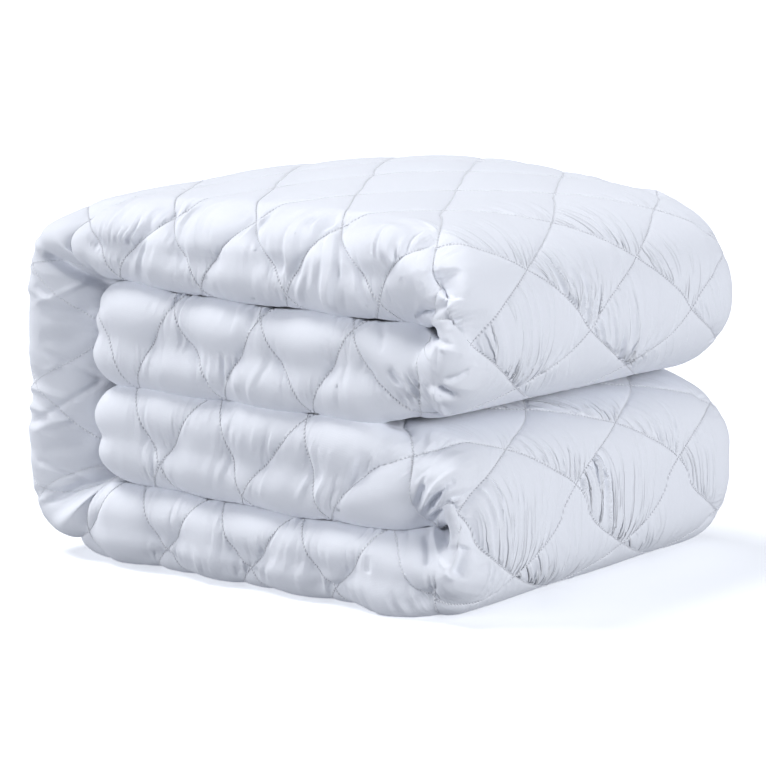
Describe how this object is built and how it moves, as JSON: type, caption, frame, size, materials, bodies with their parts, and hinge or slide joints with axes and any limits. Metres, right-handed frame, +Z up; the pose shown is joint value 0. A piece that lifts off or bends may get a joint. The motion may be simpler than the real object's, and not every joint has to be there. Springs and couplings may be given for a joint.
{
  "type": "folded quilted mattress topper",
  "caption": "Soft white mattress topper quilted in diamonds, folded in thirds and then in from both ends into a thick square bundle of layers.",
  "frame": {"origin": "centre of the bundle's footprint, on the surface that it rests on", "axes": "+Z up, +X from the wrap that closes one side of the bundle to its two folds, +Y from the near soft folded edge to the far one"},
  "size_m": [0.5358, 0.4736, 0.3741],
  "materials": {
    "white_brushed_cloth": "soft brushed microfibre cover, quilted over fibre filling, cool white"
  },
  "bodies": {
    "root": {"quilted_topper": "white_brushed_cloth"}
  },
  "joints": []
}
